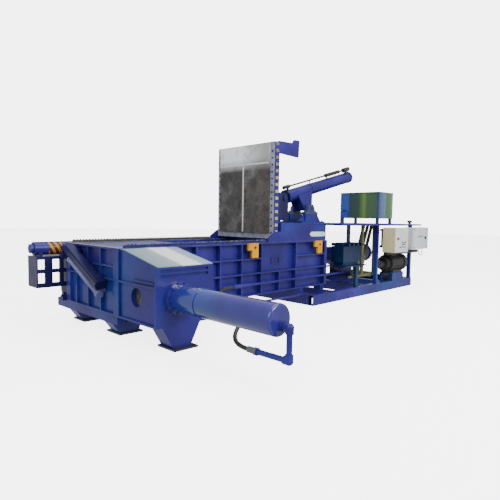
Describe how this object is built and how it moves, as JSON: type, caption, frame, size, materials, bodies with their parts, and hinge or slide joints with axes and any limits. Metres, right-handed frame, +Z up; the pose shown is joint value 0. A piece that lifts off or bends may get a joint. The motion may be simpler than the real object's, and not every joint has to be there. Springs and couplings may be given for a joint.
{
  "type": "recycling baler",
  "caption": "Hydraulic scrap baling press with a hinged lid, a long main ram, a cross ram, a sliding bale door and a power pack on its own base frame.",
  "frame": {"origin": "centre of the overall box in plan, on the floor", "axes": "+X from the bale chamber towards the power pack, +Y from the cross cylinder towards the bale door, +Z up"},
  "size_m": [8.76, 4.6275, 3.07],
  "materials": {
    "blue_paint": "glossy violet blue",
    "yellow_paint": "satin",
    "worn_plate": "scraped and mottled",
    "bare_steel": "ground",
    "silver_plate": "pale and smooth",
    "zinc_bolt": "zinc plated",
    "black_rubber": "matt",
    "black_steel": "satin",
    "grey_paint": "satin",
    "dark_iron": "painted",
    "olive_paint": "satin",
    "tank_green": "glossy",
    "panel_cream": "powder coat",
    "red_plastic": "glossy",
    "green_plastic": "glossy",
    "black_plastic": "matt"
  },
  "bodies": {
    "frame": {"front_wall": "blue_paint", "rear_wall": "blue_paint", "left_wall": "blue_paint", "chamber_floor": "worn_plate", "chamber_roof": "worn_plate", "shear_blades": "bare_steel", "hood": "blue_paint", "hinge_cheeks": "blue_paint", "lifting_hooks": "yellow_paint", "end_plate": "blue_paint", "side_housing": "blue_paint", "side_cover": "silver_plate", "side_cylinder": "blue_paint", "main_cylinder": "blue_paint", "hex_bolts": "zinc_bolt", "lid_stand": "blue_paint", "pillow_blocks": "grey_paint", "base_frame": "blue_paint", "drip_tray": "blue_paint", "deck": "blue_paint", "oil_tank": "tank_green", "tank_loop": "blue_paint", "motors": "dark_iron", "pumps": "dark_iron", "riser_pipes": "olive_paint", "valve_manifold": "dark_iron", "solenoid_valves": "grey_paint", "panel_a": "panel_cream", "panel_b": "panel_cream", "panel_frame": "blue_paint", "cable_duct": "black_plastic", "guide_frame": "blue_paint", "door_cylinder": "blue_paint", "lock_guide": "blue_paint", "lock_cylinder": "silver_plate", "leg_beams": "blue_paint", "foot_plates": "black_steel", "feed_pipe": "blue_paint", "feed_hose": "black_rubber", "box_pipes": "blue_paint", "panel_cable": "black_rubber"},
    "lid": {"lid_frame": "blue_paint", "lid_wear_plates": "worn_plate", "lid_bolts": "zinc_bolt", "lid_levers": "blue_paint"},
    "lid_barrel": {"lid_cylinder": "blue_paint", "lid_pipe": "black_steel"},
    "lid_piston": {"lid_rod": "bare_steel"},
    "main_ram": {"main_ram": "worn_plate"},
    "side_ram": {"side_ram": "worn_plate"},
    "door": {"bale_door": "blue_paint", "door_rod": "bare_steel"},
    "lock": {"lock_bar": "bare_steel"},
    "panel_a_door": {"panel_a_door": "panel_cream"},
    "emergency_stop": {"emergency_stop": "red_plastic"},
    "start_button": {"start_button": "green_plastic"},
    "selector": {"selector_switch": "black_plastic"},
    "panel_b_door": {"panel_b_door": "panel_cream"},
    "main_switch": {"main_switch": "red_plastic"},
    "breather_cap": {"breather_cap": "black_plastic"}
  },
  "joints": [
    {"name": "lid_hinge", "type": "hinge", "parent": "frame", "child": "lid", "pos_m": [-0.79, 1.07625, 1.295], "axis": [0, -1, 0], "range_deg": [0, 90]},
    {"name": "lid_cylinder_tilt", "type": "hinge", "parent": "frame", "child": "lid_barrel", "pos_m": [0.91, 1.07625, 1.84], "axis": [0, 1, 0], "range_deg": [0, 16.2]},
    {"name": "lid_rod_slide", "type": "slide", "parent": "lid_barrel", "child": "lid_piston", "axis": [-0.9703, 0, -0.2419], "range_m": [0, 1.83]},
    {"name": "main_ram_slide", "type": "slide", "parent": "frame", "child": "main_ram", "axis": [-1, 0, 0], "range_m": [0, 2.59]},
    {"name": "side_ram_slide", "type": "slide", "parent": "frame", "child": "side_ram", "axis": [0, 1, 0], "range_m": [0, 1.34]},
    {"name": "bale_door_slide", "type": "slide", "parent": "frame", "child": "door", "axis": [-1, 0, 0], "range_m": [0, 0.485]},
    {"name": "lock_slide", "type": "slide", "parent": "frame", "child": "lock", "axis": [0, 0.91, 0.4147], "range_m": [0, 0.16]},
    {"name": "panel_a_hinge", "type": "hinge", "parent": "frame", "child": "panel_a_door", "pos_m": [2.311, -0.37675, 0.912], "axis": [0, 0, -1], "range_deg": [0, 110]},
    {"name": "panel_b_hinge", "type": "hinge", "parent": "frame", "child": "panel_b_door", "pos_m": [3.411, -0.27675, 0.936], "axis": [0, 0, -1], "range_deg": [0, 110]},
    {"name": "emergency_push", "type": "slide", "parent": "panel_a_door", "child": "emergency_stop", "axis": [0, 1, 0], "range_m": [0, 0.008]},
    {"name": "start_push", "type": "slide", "parent": "panel_a_door", "child": "start_button", "axis": [0, 1, 0], "range_m": [0, 0.005], "stiffness_N_per_m": 600, "springref_m": -0.002},
    {"name": "selector_turn", "type": "hinge", "parent": "panel_a_door", "child": "selector", "pos_m": [2.77, -0.39875, 1.13], "axis": [0, 1, 0], "range_deg": [-45, 45]},
    {"name": "main_switch_turn", "type": "hinge", "parent": "panel_b_door", "child": "main_switch", "pos_m": [4.108, -0.29875, 1.209], "axis": [0, 1, 0], "range_deg": [0, 90]},
    {"name": "breather_turn", "type": "hinge", "parent": "frame", "child": "breather_cap", "pos_m": [4.06, 0.09125, 1.58], "axis": [0, 0, 1], "continuous": true}
  ],
  "couplings": [
    {"joint": "lid_cylinder_tilt", "follows": "lid_hinge", "ratio": 0.17666},
    {"joint": "lid_rod_slide", "follows": "lid_hinge", "m_per_rad": 1.1574}
  ]
}
